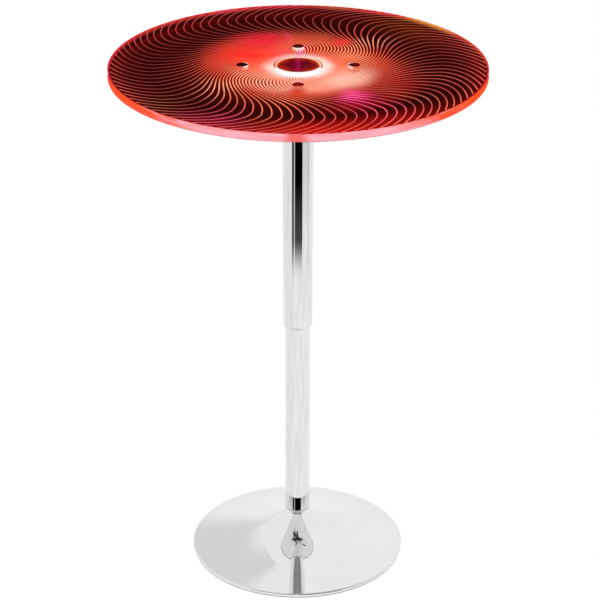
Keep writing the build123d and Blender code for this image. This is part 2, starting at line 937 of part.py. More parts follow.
def make_upper_sleeve():
    """Conical chromed sleeve with its lower edge rolled in towards the column."""
    lip_inner = column_radius + sleeve_lip_gap
    lip_top = sleeve_bottom + sleeve_lip_height
    top = housing_bottom
    outside = Polyline((lip_inner + sleeve_wall / 2, sleeve_bottom), (lip_inner, sleeve_bottom))
    roll = ThreePointArc(
        outside @ 0,
        (sleeve_radius(lip_top) - sleeve_wall / 2, sleeve_bottom + sleeve_lip_height / 4),
        (sleeve_radius(lip_top), lip_top),
    )
    inner_wall = Polyline(
        outside @ 1,
        (lip_inner, sleeve_bottom + sleeve_wall / 2),
        (sleeve_radius(lip_top) - sleeve_wall, lip_top),
        (sleeve_radius(top) - sleeve_wall, top),
        (sleeve_radius(top), top),
        roll @ 1,
    )
    edges = [*outside.edges(), *roll.edges(), *inner_wall.edges()]
    return revolve(make_face([Plane.XZ * edge for edge in edges]), Axis.Z)


glide_bottom = sleeve_bottom + glide_lift
collar_top = housing_bottom - moving_gap
collar_bottom = collar_top - collar_height
parts["upper_sleeve"] = make_upper_sleeve()
parts["sleeve_glide"] = tube(
    sleeve_radius(glide_bottom) - sleeve_wall - seat_clearance,
    column_radius + moving_gap,
    glide_bottom,
    glide_bottom + glide_height,
)
parts["sleeve_collar"] = tube(
    sleeve_radius(collar_bottom) - sleeve_wall - seat_clearance,
    socket_radius + seat_clearance,
    collar_bottom,
    collar_top,
)

# Battery box, drawn with the lever along +X, so that it lies on the -X side

boss_inset = cover_boss_radius - cover_boss_embed
cell_pitch = cell_radius + cell_radius + cell_gap
cells_half_width = cell_pitch * (cell_count - 1) / 2 + cell_radius
boss_y = cells_half_width + cell_side_gap + cover_boss_radius
box_inner_half_width = boss_y + boss_inset
box_half_width = box_inner_half_width + box_wall
box_inner_near = box_near + box_wall
cell_start = box_inner_near + contact_thickness + contact_spring_length + moving_gap
partition_near = cell_start + cell_length + cell_nub_length + moving_gap + contact_thickness
board_near = partition_near + box_wall + board_gap
board_far = board_near + board_length
board_middle = (board_near + board_far) / 2
box_inner_far = board_far + board_gap
box_far = box_inner_far + box_wall
box_top = backing_bottom - tape_thickness
box_ceiling = box_top - box_wall
cell_height = box_ceiling - cell_head_gap - cell_radius
box_bottom = cell_height - cell_radius - moving_gap
cover_bottom = box_bottom - cover_thickness
board_top = box_ceiling - board_drop + board_thickness
board_bottom = board_top - board_thickness
switch_bottom = board_bottom - switch_height


def cover_screw_places():
    """The two far corners and the two near corners of the box."""
    far_x = box_inner_far - boss_inset
    near_x = box_inner_near + boss_inset
    return [(-far_x, boss_y), (-far_x, -boss_y), (-near_x, boss_y), (-near_x, -boss_y)]


def make_battery_box():
    """Moulded tray, open below, with a partition, screw bosses and board posts."""
    outer = rounded_block(-box_far, -box_near, box_half_width, box_bottom, box_top, box_corner)
    inner = rounded_block(
        -box_inner_far,
        -box_inner_near,
        box_inner_half_width,
        box_bottom - overrun,
        box_ceiling,
        box_corner - box_wall,
    )
    tray = outer - inner
    partition_far = partition_near + box_wall
    tray += block(-partition_far, -partition_near, box_inner_half_width + overrun, box_bottom, box_ceiling)
    for x, y in cover_screw_places():
        tray += Pos(x, y, 0) * rod(cover_boss_radius, box_bottom, box_ceiling)
        tray -= Pos(x, y, 0) * rod(cover_screw_radius + seat_clearance, box_bottom - overrun, box_ceiling)
    post_y = board_half_width - board_post_inset
    for y in (post_y, -post_y):
        tray += Pos(-board_middle, y, 0) * rod(board_post_radius, board_top, box_ceiling + box_wall / 2)
    lead_hole = Rot(0, full_turn / 4, 0) * Cylinder(lead_radius + seat_clearance, box_wall + overrun)
    return tray - Pos(-box_near - box_wall / 2, 0, lead_height) * lead_hole


def make_battery_cover():
    """Flat cover under the box, with a hole for the button and sunk screw heads."""
    plate = rounded_block(-box_far, -box_near, box_half_width, cover_bottom, box_bottom, box_corner)
    plate -= Pos(-board_middle, 0, 0) * rod(button_radius + moving_gap, cover_bottom - overrun, box_bottom)
    for x, y in cover_screw_places():
        plate -= Pos(x, y, 0) * rod(cover_screw_radius + running_clearance, cover_bottom, box_bottom)
    return plate


def make_cell():
    """One battery cell lying along the box, with its nub."""
    body = Cylinder(cell_radius, cell_length, align=(Align.CENTER, Align.CENTER, Align.MIN))
    nub = Cylinder(cell_nub_radius, cell_nub_length, align=(Align.CENTER, Align.CENTER, Align.MIN))
    cell = body + Pos(0, 0, cell_length) * nub
    return Pos(-cell_start, 0, cell_height) * Rot(0, -full_turn / 4, 0) * cell


def make_battery_contacts():
    """Spring plate at the near end and flat plate at the far end of each cell."""
    contacts = []
    near = -box_inner_near
    far = -partition_near
    half_height = contact_height / 2
    for index in range(cell_count):
        y = (index - (cell_count - 1) / 2) * cell_pitch
        plate = block(
            near - contact_thickness, near, half_height, cell_height - half_height, cell_height + half_height
        )
        tip = Rot(0, -full_turn / 4, 0) * Cone(
            contact_spring_radius,
            contact_spring_tip,
            contact_spring_length,
            align=(Align.CENTER, Align.CENTER, Align.MIN),
        )
        spring = Pos(near - contact_thickness, 0, cell_height) * tip
        flat = block(
            far, far + contact_thickness, half_height, cell_height - half_height, cell_height + half_height
        )
        contacts.append(Pos(0, y, 0) * (plate + spring))
        contacts.append(Pos(0, y, 0) * flat)
    return Compound(children=contacts)


def make_control_board():
    """Board that carries the switch."""
    return block(-board_far, -board_near, board_half_width, board_bottom, board_top)


def make_switch_body():
    """Push switch under the board, with a mouth for the button's stem."""
    body = Box(switch_size, switch_size, switch_height, align=(Align.CENTER, Align.CENTER, Align.MIN))
    switch = Pos(-board_middle, 0, switch_bottom) * body
    mouth = rod(button_stem_radius + moving_gap, switch_bottom - overrun, switch_bottom + switch_bore_depth)
    return switch - Pos(-board_middle, 0, 0) * mouth


def make_power_button():
    """Button with a holding flange inside the cover and a stem into the switch."""
    bottom = cover_bottom - button_proud
    flange_bottom = box_bottom + moving_gap
    flange_top = flange_bottom + button_flange_height
    stem_top = switch_bottom + button_stem_entry
    return Pos(-board_middle, 0, 0) * turned(
        (0, bottom),
        (button_radius - button_edge, bottom),
        (button_radius, bottom + button_edge),
        (button_radius, flange_bottom),
        (button_flange_radius, flange_bottom),
        (button_flange_radius, flange_top),
        (button_stem_radius, flange_top),
        (button_stem_radius, stem_top),
        (0, stem_top),
    )


def make_cover_screw():
    """Small screw up through the cover."""
    head = rod(cover_screw_head_radius, cover_bottom - cover_screw_head_height, cover_bottom)
    return head + rod(cover_screw_radius, cover_bottom, cover_bottom + cover_screw_length)


def make_light_lead():
    """Lead from the box to the light, bent up through the plate."""
    route = Plane.XZ * FilletPolyline(
        (-box_inner_near, lead_height),
        (-lead_rise_at, lead_height),
        (-lead_rise_at, plate_top),
        radius=lead_bend_radius,
    )
    section = Pos(-box_inner_near, 0, lead_height) * Rot(0, full_turn / 4, 0) * Circle(lead_radius)
    return sweep(section, route)


lead_height = plate_bottom - plate_lip_depth - lead_gap - lead_radius
tape_half_width = box_half_width - tape_margin
tape = block(tape_margin - box_far, -box_near - tape_margin, tape_half_width, box_top, backing_bottom)
cells = [
    Pos(0, (index - (cell_count - 1) / 2) * cell_pitch, 0) * make_cell() for index in range(cell_count)
]
screws = [Pos(x, y, 0) * make_cover_screw() for x, y in cover_screw_places()]
parts["battery_box"] = along_lever(make_battery_box())
parts["box_tape"] = along_lever(tape)
parts["battery_cover"] = along_lever(make_battery_cover())
parts["battery_cells"] = Compound(children=[along_lever(cell) for cell in cells])
parts["battery_contacts"] = along_lever(make_battery_contacts())
parts["control_board"] = along_lever(make_control_board())
parts["switch_body"] = along_lever(make_switch_body())
parts["power_button"] = along_lever(make_power_button())
parts["cover_screws"] = Compound(children=[along_lever(screw) for screw in screws])
parts["light_lead"] = along_lever(make_light_lead())

# Writing the sub-parts

os.makedirs("parts", exist_ok=True)
for name, shape in parts.items():
    export_step(shape, f"parts/{name}.step")
    print(name, round(shape.volume))
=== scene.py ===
"""The looks of a round bar table with a lit top, laid out as an add-on and run as a script."""

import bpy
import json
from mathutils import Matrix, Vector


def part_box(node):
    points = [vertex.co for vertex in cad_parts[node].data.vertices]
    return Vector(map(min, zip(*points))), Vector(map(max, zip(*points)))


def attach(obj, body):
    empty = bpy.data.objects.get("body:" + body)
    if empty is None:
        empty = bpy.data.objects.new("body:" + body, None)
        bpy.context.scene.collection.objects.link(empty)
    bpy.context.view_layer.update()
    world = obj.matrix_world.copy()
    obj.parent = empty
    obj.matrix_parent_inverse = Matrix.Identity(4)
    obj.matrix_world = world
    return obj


bl_info = {
    "name": "Lit bar table",
    "version": (1, 0, 0),
    "blender": (4, 5, 0),
    "location": "3D View > Sidebar > Lit table",
    "description": "Glowing top, chromed column and base, and the fittings under the top",
    "category": "Object",
}

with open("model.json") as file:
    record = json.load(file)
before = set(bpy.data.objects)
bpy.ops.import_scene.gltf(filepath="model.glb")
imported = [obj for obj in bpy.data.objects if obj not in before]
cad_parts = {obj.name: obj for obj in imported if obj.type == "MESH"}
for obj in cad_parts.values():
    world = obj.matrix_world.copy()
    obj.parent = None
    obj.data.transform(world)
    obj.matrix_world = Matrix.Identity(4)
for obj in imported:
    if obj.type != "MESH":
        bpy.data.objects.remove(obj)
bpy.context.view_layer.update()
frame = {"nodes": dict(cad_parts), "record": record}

import json
import math
from functools import partial

import bmesh
import bpy
from mathutils import Matrix, Vector

MILLIMETRE = 0.001

# Places read from the frame, in metres
panel_low, panel_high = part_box("tabletop_panel")
top_radius = panel_high.x
top_height = panel_high.z
panel_bottom = panel_low.z
cap_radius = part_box("light_cap")[1].x
pad_radius = 16 * MILLIMETRE
bolt_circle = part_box("plate_pads")[1].x - pad_radius
column_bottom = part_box("lower_column")[0].z


def linear(hex_colour):
    """Linear colour of an sRGB hex value."""
    values = (int(hex_colour[index : index + 2], 16) / 255 for index in (1, 3, 5))
    return tuple(v / 12.92 if v <= 0.04045 else ((v + 0.055) / 1.055) ** 2.4 for v in values)


def with_alpha(linear_colour):
    """A colour as the four numbers that a colour socket takes."""
    return (*linear_colour[:3], 1.0)


def tint(hex_colour):
    """An sRGB hex value as the four linear numbers that a colour socket takes."""
    return with_alpha(linear(hex_colour))


def grain(millimetres):
    """Scale of a noise whose grains are about this wide."""
    return 1.0 / (millimetres * MILLIMETRE)


# What a user would change


def length(name, description, default):
    """A length in metres."""
    return bpy.props.FloatProperty(
        name=name, description=description, default=default, unit="LENGTH"
    )


def angle(name, description, degrees):
    """An angle, given in degrees."""
    return bpy.props.FloatProperty(
        name=name, description=description, default=math.radians(degrees), subtype="ANGLE"
    )


def share(name, description, default):
    """A share of something, mostly of the top's radius."""
    return bpy.props.FloatProperty(
        name=name, description=description, default=default, subtype="FACTOR"
    )


def number(name, description, default):
    """A number that no unit or subtype fits."""
    return bpy.props.FloatProperty(name=name, description=description, default=default)


def whole_number(name, description, default):
    """A number of pieces."""
    return bpy.props.IntProperty(name=name, description=description, default=default)


def colour(name, description, hex_colour):
    """A colour, given as an sRGB hex value."""
    return bpy.props.FloatVectorProperty(
        name=name, description=description, default=linear(hex_colour), subtype="COLOR", size=3
    )


class LinePattern(bpy.types.PropertyGroup):
    """The wavy lines that are engraved under the top's face."""

    count: whole_number("Lines", "Lines from the light to the rim", 90)
    steps: whole_number("Steps", "Straight pieces in each line", 56)
    width: length("Width", "Width of each line", 2.2 * MILLIMETRE)
    depth: length("Depth", "How far under the face the lines lie", 0.9 * MILLIMETRE)
    thickness: length("Thickness", "How deep each line is cut", 0.4 * MILLIMETRE)
    inner_share: share("Start", "Where the lines start, as a share of the top's radius", 0.132)
    outer_share: share("End", "Where the lines end, as a share of the top's radius", 0.986)
    twist: angle("Twist", "How far the lines swing between the light and the rim", 60.0)
    twist_middle: share("Twist middle", "Radius of the steepest swing, as a share", 0.430)
    twist_width: share("Twist width", "How gently the lines swing, as a share", 0.0742)
    back_swing: angle("Back swing", "Swing the other way at the rim", 16.05)
    back_start: share("Back start", "Radius where the back swing starts, as a share", 0.742)
    back_power: number("Back power", "How late the back swing grows", 1.86)
    first: angle("First line", "Angle of the first line before its swing", -59.24)


class LitColours(bpy.types.PropertyGroup):
    """The colours of the light in the top."""

    hot: colour("Hot", "Light next to the module", "#fffaf4")
    edge: colour("Edge", "Light that leaves the rim", "#ffa4ac")
    edge_warm: colour("Warm edge", "Light that leaves the rim at its sides", "#ff5428")
    # Painted shadow of the near bolt hole on the middle of the rim's front
    edge_in_hole_shadow: colour("Dim edge", "Patch of the rim over the column", "#f4706c")


class Studio(bpy.types.PropertyGroup):
    """Camera and light."""

    camera_distance: length("Distance", "Camera's distance in front of the column", 4.080)
    camera_height: length("Height", "Camera's height above the floor", 2.494)
    camera_pitch: angle("Pitch", "Camera's tilt below the horizon", 25.45)
    camera_lens: number("Lens", "Focal length in mm", 137.96)
    camera_roll: angle("Roll", "Camera's lean to the side", -0.12)
    camera_shift: number("Shift", "Sideways shift of the frame", 0.0003)
    fill: number("Fill", "Level of the even light", 0.55)
    key: number("Key", "Power of the key light in W", 85.0)


class TableLooks(bpy.types.PropertyGroup):
    """Everything that a user would change."""

    lines: bpy.props.PointerProperty(type=LinePattern)
    lit: bpy.props.PointerProperty(type=LitColours)
    studio: bpy.props.PointerProperty(type=Studio)


# Nodes by a plain name: Blender's name after ShaderNode, the inputs that the values of a call go
# to, and the settings. Ease and line both go from start to end as a value goes from low to high.

RANGE_INPUTS = ("Value", "From Min", "From Max", "To Min", "To Max")

NODE_KINDS = {
    "coordinates": ("TexCoord", (), {}),
    "geometry": ("NewGeometry", (), {}),
    "light path": ("LightPath", (), {}),
    "split": ("SeparateXYZ", (0,), {}),
    "join": ("CombineXYZ", (0, 1), {}),
    "length": ("VectorMath", (0,), {"operation": "LENGTH"}),
    "shift": ("Mapping", ("Vector", "Location"), {}),
    "stretch": ("Mapping", ("Vector", "Scale"), {}),
    "noise": ("TexNoise", ("Vector", "Scale", "Detail", "Roughness"), {}),
    "ramp": ("ValToRGB", (0,), {}),
    "mix": ("Mix", (0, 6, 7), {"data_type": "RGBA", "clamp_factor": True}),
    "ease": ("MapRange", RANGE_INPUTS, {"interpolation_type": "SMOOTHSTEP"}),
    "line": ("MapRange", RANGE_INPUTS, {"interpolation_type": "LINEAR"}),
    "bump": ("Bump", ("Height", "Distance", "Strength"), {}),
    "principled": ("BsdfPrincipled", (), {}),
    "diffuse": ("BsdfDiffuse", (0,), {}),
    "emission": ("Emission", (0, 1), {}),
    "background": ("Background", (0, 1), {}),
    "mix shaders": ("MixShader", (0, 1, 2), {}),
    "output": ("OutputMaterial", (0,), {}),
    "world output": ("OutputWorld", (0,), {}),
}


def add_node(tree, kind, *values, **named):
    """Adds a node with its settings and links. A kind that isn't in the table is a sum, such as
    ADD. A value may be a socket, or a node, whose first live output then feeds the input."""
    name, places, settings = NODE_KINDS.get(kind, ("Math", (0, 1, 2), {"operation": kind}))
    node = tree.nodes.new("ShaderNode" + name)
    for setting, value in settings.items():
        setattr(node, setting, value)
    inputs = dict(zip(places, values))
    inputs.update({key.replace("_", " "): value for key, value in named.items()})
    for key, value in inputs.items():
        if isinstance(value, bpy.types.Node):
            value = next(socket for socket in value.outputs if socket.enabled)
        if isinstance(value, bpy.types.NodeSocket):
            tree.links.new(value, node.inputs[key])
        else:
            node.inputs[key].default_value = value
    return node


def new_material(name):
    """A material with an empty node tree, and the function that adds a node to it."""
    material = bpy.data.materials.new(name)
    material.use_nodes = True
    material.node_tree.nodes.clear()
    return material, partial(add_node, material.node_tree)


def window(add, value, low, high, soft, strength=1.0):
    """Strength between low and high and nought outside, with soft sides."""
    rise = add("ease", value, low - soft, low + soft, 0.0, strength)
    return add("MULTIPLY", rise, add("ease", value, high + soft, high - soft))


def place_on(add):
    """Object coordinates, split, with the distance and angle about the column's axis."""
    place = add("coordinates").outputs["Object"]
    x, y, z = add("split", place).outputs
    radius = add("length", add("join", x, y))
    turn = add("ARCTAN2", y, x)
    return {"place": place, "x": x, "y": y, "z": z, "radius": radius, "turn": turn}


def lit_surface(add, dark, roughness, glow, strength=1.0, **inputs):
    """Dark stock that shows by the light inside it, and mirrors nothing that would grey it."""
    add("output", add(
        "principled", Base_Color=tint(dark), Roughness=roughness, Specular_IOR_Level=0.0,
        Emission_Color=glow, Emission_Strength=strength, **inputs,
    ))


# Light patches. Each is (angle, radius, half angle, half radius, colour, strength): angles in
# degrees from the right, turning towards the far side, and radii as shares of the top's radius.

GROUND_PATCH_SHARES = (
    (280, 0.92, 56, 0.28, "#d0140c", 1.0),
    (240, 0.89, 18, 0.24, "#8c0c2a", 0.9),
    (44, 0.90, 26, 0.20, "#541802", 0.8),
    (357, 1.01, 26, 0.16, "#6c0808", 0.8),
    (335, 0.52, 52, 0.22, "#940c0a", 0.9),
    (299, 0.55, 22, 0.15, "#900818", 0.9),
    (90, 0.45, 57, 0.25, "#b82c1a", 0.9),
    (17, 0.44, 33, 0.15, "#b82c10", 0.8),
    (163, 0.44, 29, 0.13, "#a4140e", 0.8),
    (81, 0.56, 10, 0.17, "#8c380f", 0.9),
    (64, 0.53, 10, 0.12, "#dc2820", 0.9),
    (42, 0.37, 24, 0.14, "#e05434", 0.9),
    (130, 0.38, 48, 0.30, "#f01e1c", 1.0),
    (112, 0.55, 21, 0.20, "#c81428", 0.9),
    (141, 0.28, 43, 0.14, "#ff4028", 0.9),
    (108, 0.33, 18, 0.12, "#fc2c54", 0.9),
    (95, 0.55, 4, 0.20, "#e82060", 0.8),
    (91, 0.33, 6, 0.11, "#ff70c8", 1.0),
    (219, 0.25, 55, 0.12, "#a8300f", 0.8),
    (338, 0.26, 64, 0.20, "#fab4a0", 1.0),
    (291, 0.26, 29, 0.12, "#f07c64", 0.9),
    (309, 0.44, 21, 0.15, "#e41870", 1.0),
    # The next three are painted shadows that the right, left and near bolt holes cast outwards
    (20, 0.37, 8, 0.11, "#a01006", 0.9),
    (161, 0.38, 8, 0.13, "#8c1208", 0.9),
    (270, 0.27, 13, 0.15, "#b8180a", 1.0),
    (38, 0.20, 20, 0.05, "#ffd8c4", 0.9),
    (142, 0.20, 17, 0.04, "#ffc0ac", 0.8),
)

LINE_PATCH_SHARES = (
    (150, 0.66, 62, 0.20, "#6c2024", 0.9),
    (140, 0.88, 46, 0.22, "#a8343c", 0.9),
    (176, 0.84, 34, 0.26, "#702428", 0.9),
    (88, 0.88, 20, 0.24, "#7c2824", 0.8),
    (50, 0.88, 22, 0.26, "#94501c", 0.8),
    (220, 0.88, 14, 0.26, "#8c583c", 0.9),
    (262, 0.66, 34, 0.34, "#ff805c", 1.0),
    (242, 0.84, 14, 0.26, "#e0506c", 0.9),
    (280, 0.84, 24, 0.36, "#e04c44", 1.0),
    (344, 0.80, 22, 0.40, "#d05850", 0.9),
    (322, 0.76, 12, 0.26, "#d87458", 0.9),
    (303, 0.76, 15, 0.42, "#ff5c80", 1.0),
    (318, 1.02, 46, 0.15, "#ff7050", 1.0),
    (40, 0.54, 17, 0.20, "#ffa080", 0.9),
    (60, 0.64, 13, 0.17, "#d84c44", 0.9),
    (224, 0.52, 24, 0.24, "#ffa07c", 1.0),
    (250, 0.31, 74, 0.17, "#ffccb0", 1.0),
    (318, 0.34, 46, 0.17, "#ffd0be", 0.9),
    (30, 0.34, 44, 0.14, "#ff9870", 0.9),
    (301, 0.55, 12, 0.12, "#ff6ca0", 1.0),
    (58, 0.43, 11, 0.12, "#ff4c44", 0.9),
    (146, 0.30, 66, 0.34, "#fc3028", 1.0),
    (118, 0.45, 28, 0.20, "#f02440", 1.0),
    (90, 0.20, 9, 0.13, "#ffa0dc", 0.9),
    (274, 0.16, 110, 0.09, "#ffffff", 1.0),
    # Painted shadow that the near bolt hole casts outwards
    (270, 0.40, 9, 0.16, "#d8381c", 0.9),
)

RIM_PATCH_SHARES = (
    (180, 1.0, 40, 1.0, "#e02840", 1.0),
    (140, 1.0, 28, 1.0, "#d83834", 0.9),
    (112, 1.0, 16, 1.0, "#e83c50", 1.0),
    (96, 1.0, 9, 1.0, "#e01c48", 1.0),
    (78, 1.0, 12, 1.0, "#b05c34", 1.0),
    (60, 1.0, 9, 1.0, "#e0303c", 1.0),
    (42, 1.0, 20, 1.0, "#f8a430", 1.0),
    (10, 1.0, 24, 1.0, "#d84c30", 0.9),
)


def with_patches(add, on, start, patches):
    """Colour socket: a start colour with soft patches of other light laid over it. The patches
    drift a little and are thin in places, as smoke is, so that none of them shows an outline."""
    most_drift, most_sway, least_density = 8.0, 0.03, 0.7
    drift = add("noise", on["place"], grain(111.1), 3.0, 0.55)
    sway = add("noise", add("shift", on["place"], (3.0, 1.0, 2.0)), grain(71.43), 3.0, 0.55)
    wisps = add("noise", add("stretch", on["place"], (0.5, 1.5, 1.0)), grain(33.33), 4.0, 0.6)
    density = add("ease", wisps, 0.3, 0.6, least_density, 1.0)
    turn = add("DEGREES", on["turn"])
    turn = add("ADD", turn, add("line", drift, 0.2, 0.8, -most_drift, most_drift))
    radius = add("DIVIDE", on["radius"], top_radius)
    radius = add("ADD", radius, add("line", sway, 0.2, 0.8, -most_sway, most_sway))
    shown = start
    for turn_at, radius_at, half_turn, half_radius, hex_colour, strength in patches:
        near = add("WRAP", add("SUBTRACT", turn, turn_at), 180.0, -180.0)
        across = add("DIVIDE", near, half_turn)
        along = add("DIVIDE", add("SUBTRACT", radius, radius_at), half_radius)
        distance = add("length", add("join", across, along))
        amount = add("MULTIPLY", add("ease", distance, 1.0, 0.0, 0.0, strength), density)
        shown = add("mix", amount, shown, tint(hex_colour))
    return shown


def radial_ramp(add, on, stops):
    """Colour that follows the radius through (share, colour) stops."""
    ramp = add("ramp", add("DIVIDE", on["radius"], top_radius))
    elements = ramp.color_ramp.elements
    for position, hex_colour in stops[2:]:
        elements.new(position)
    for element, (position, hex_colour) in zip(elements, stops):
        element.position = position
        element.color = tint(hex_colour)
    return ramp


# Materials of the lit top


def clear_acrylic(looks):
    """Cast clear acrylic, flame polished. The faces let sight through, and light shows only
    where it leaves the sheet: at the rim, at the module's bore and in the bolt holes."""
    material, add = new_material("cast_clear_acrylic_polished")
    on = place_on(add)
    lit = looks.lit
    upright = add("split", add("geometry").outputs["True Normal"]).outputs[2]
    wall = add("LESS_THAN", add("ABSOLUTE", upright), 0.5)
    at_rim = add("GREATER_THAN", on["radius"], top_radius - 2 * MILLIMETRE)
    at_bore = add("LESS_THAN", on["radius"], cap_radius + 3 * MILLIMETRE)

    # The rim: pink and streaked in front, orange and then red at its sides, mauve at its foot
    turn = add("ADD", add("DEGREES", on["turn"]), 90.0)
    side = add("ABSOLUTE", add("WRAP", turn, 180.0, -180.0))
    warm = add("ease", side, 24.0, 48.0)
    rim = add("mix", warm, with_alpha(lit.edge), with_alpha(lit.edge_warm))
    rim = add("mix", add("ease", side, 72.0, 86.0, 0.0, 0.7), rim, tint("#f02c3c"))
    streaks = add("noise", add("stretch", on["place"], (1.0, 1.0, 9.0)), grain(71.43), 3.0)
    streaked = add("ease", streaks, 0.45, 0.6, 0.0, 0.5)
    streaked = add("MULTIPLY", streaked, add("ease", side, 64.0, 36.0))
    rim = add("mix", streaked, rim, tint("#ffc0d0"))
    # Painted shadow of the near bolt hole: the front of the rim is dimmer about its middle
    off_middle = add("ABSOLUTE", add("ADD", on["x"], 4 * MILLIMETRE))
    dim = add("ease", off_middle, 28 * MILLIMETRE, 6 * MILLIMETRE)
    front = add("LESS_THAN", on["y"], 0.0)
    rim = add("mix", add("MULTIPLY", dim, front), rim, with_alpha(lit.edge_in_hole_shadow))
    low_edge = add("ease", on["z"], panel_bottom + 3 * MILLIMETRE, panel_bottom, 0.0, 0.55)
    rim = add("mix", low_edge, rim, tint("#c0788c"))

    # The walls of the bolt holes are white-hot where they face the module, near the upper face
    facing = add(
        "ease", on["radius"], bolt_circle + 3 * MILLIMETRE, bolt_circle - 8 * MILLIMETRE
    )
    high = add("ease", on["z"], top_height - 9 * MILLIMETRE, top_height - 2 * MILLIMETRE)
    hole = add("mix", add("MULTIPLY", facing, high), tint("#b82812"), with_alpha(lit.hot))
    low = add("ease", on["z"], top_height - 5 * MILLIMETRE, top_height - 14 * MILLIMETRE)
    bore = add("mix", low, with_alpha(lit.hot), tint("#d8806c"))

    glow = add("mix", at_rim, add("mix", at_bore, hole, bore), rim)
    least_alpha = 0.02
    lit_surface(
        add, "#100404", 0.04, glow, wall, IOR=1.49, Alpha=add("MAXIMUM", wall, least_alpha)
    )
    return material


def backing_sheet(looks):
    """Extruded acrylic sheet in plain silver grey. The streaks of the die give it a faint run
    one way. The real ones are finer than a tenth of a millimetre, so they are drawn coarser."""
    material, add = new_material("extruded_silver_grey_sheet")
    on = place_on(add)
    streak = add("noise", add("stretch", on["place"], (1.0, 14.0, 1.0)), grain(41.67), 3.0)
    tone = add("mix", streak, tint("#dedfe0"), tint("#e9eaeb"))
    roughness = add("ease", streak, 0.3, 0.7, 0.4, 0.5)
    add("output", add("principled", Base_Color=tone, Roughness=roughness))
    return material


def lit_print(looks):
    """Black ink printed on the underside of the clear sheet. It takes light from the sheet, so
    its black is lifted in red, crimson and salmon patches."""
    material, add = new_material("screen_printed_ink_lit")
    on = place_on(add)
    ground = radial_ramp(add, on, (
        (0.118, "#ffa880"), (0.15, "#fc6c50"), (0.21, "#e84c30"), (0.29, "#bc3414"),
        (0.37, "#801806"), (0.45, "#540a03"), (0.56, "#380502"), (0.72, "#2b0302"),
        (0.90, "#380503"), (1.0, "#580906"),
    ))
    lit_surface(add, "#080202", 0.5, with_patches(add, on, ground, GROUND_PATCH_SHARES))
    return material


def engraved_line(looks):
    """Engraved groove in acrylic, left matt by the cutter, so that it catches the light that runs
    in the sheet: bright orange towards the viewer, brown at the back and white near the module."""
    material, add = new_material("laser_engraved_acrylic_lit")
    on = place_on(add)
    glow = radial_ramp(add, on, (
        (0.13, "#ffe4d8"), (0.20, "#ff7c60"), (0.32, "#f8805c"), (0.42, "#e45840"),
        (0.52, "#c04838"), (0.62, "#9c3c34"), (0.78, "#843436"), (0.90, "#9c3c3c"),
        (1.0, "#dc5c50"),
    ))
    lit_surface(add, "#100404", 0.6, with_patches(add, on, glow, LINE_PATCH_SHARES), 1.25)
    return material


def painted_rim_reflection(looks):
    """A glowing ring inside the polished rim, which paints the light that the rim mirrors back in
    crimson, brown and amber, bright at its upper edge and fading downwards into the printed
    ground."""
    material, add = new_material("polished_acrylic_rim_inside")
    on = place_on(add)
    glow = with_patches(add, on, tint("#c02828"), RIM_PATCH_SHARES)
    fading = add("ease", on["z"], top_height - 10 * MILLIMETRE, top_height)
    lit_surface(add, "#100404", 0.5, add("mix", fading, tint("#340604"), glow))
    return material


def translucent_cap(looks):
    """Moulded red acrylic, dark in the middle and glowing at its scalloped rim."""
    material, add = new_material("moulded_red_acrylic_cap")
    on = place_on(add)
    edge = add("ease", on["radius"], 0.4 * cap_radius, cap_radius)
    glow = add("mix", edge, tint("#6c0820"), tint("#c42810"))
    patchy = add("ease", add("noise", on["place"], grain(18.18)), 0.35, 0.65, 0.0, 0.7)
    glow = add("mix", patchy, glow, tint("#580810"))
    # Painted light: a magenta streak across the middle, and an orange glow on the far part of the
    # rim
    streak = add("ease", add("ABSOLUTE", on["x"]), 9 * MILLIMETRE, 0.0, 0.0, 0.35)
    glow = add("mix", streak, glow, tint("#c81c60"))
    far = add("ease", on["y"], -0.3 * cap_radius, 0.4 * cap_radius)
    rim = add("ease", on["radius"], 0.86 * cap_radius, 0.97 * cap_radius)
    glow = add("mix", add("MULTIPLY", far, rim), glow, tint("#ff8a30"))
    lit_surface(add, "#200204", 0.12, glow)
    return material


def black_cap(looks):
    """Moulded black nylon cap, a little translucent, so that the light in the sheet tints it.
    The mould's grain of some 0.05 mm is drawn at 1.1 mm, so that it shows."""
    material, add = new_material("moulded_black_nylon_cap")
    on = place_on(add)
    glow = add("mix", add("ease", on["x"], -0.1, 0.1), tint("#2c0606"), tint("#5c0c08"))
    glow = add("mix", add("ease", on["y"], -0.04, -0.1), glow, tint("#8c0e08"))
    grained = add("bump", add("noise", on["place"], grain(1.111)), 0.05 * MILLIMETRE)
    lit_surface(add, "#100404", 0.4, glow, Normal=grained)
    return material


def light_chip(looks):
    """Silicone lens over a light chip, lit."""
    material, add = new_material("silicone_lens_lit")
    add("output", add(
        "principled", Base_Color=tint("#ffd8c8"), Roughness=0.3,
        Emission_Color=tint("#ffe8e0"), Emission_Strength=3.0,
    ))
    return material


# Metals


def chrome_plate(looks):
    """Bright chrome over polished steel. Faint buffing marks and a breath of haze break the
    mirror, and the drawn tube shows through as upright streaks above the base. Marks and
    streaks are under 0.1 mm on the real steel, and are drawn coarser, so that they show."""
    material, add = new_material("polished_chrome_plate")
    on = place_on(add)
    haze = add("noise", on["place"], grain(111.1), 3.0)
    marks = add("noise", add("stretch", on["place"], (1.0, 1.0, 22.0)), grain(6.25))
    drawn = add("noise", add("stretch", on["place"], (1.0, 1.0, 0.07)), grain(5.882), 3.0)
    spun = add("mix", add("ease", haze, 0.35, 0.65), tint("#e5e5e6"), tint("#e9e9ea"))
    streaky = add("mix", add("ease", drawn, 0.35, 0.65), tint("#e1e1e2"), tint("#ececed"))
    above_base = add("ease", on["z"], column_bottom, 2 * column_bottom)
    add("output", add(
        "principled", Base_Color=add("mix", above_base, spun, streaky), Metallic=1.0,
        Roughness=add("ease", haze, 0.3, 0.7, 0.02, 0.045),
        Normal=add("bump", marks, 0.002 * MILLIMETRE, 0.15),
    ))
    return material


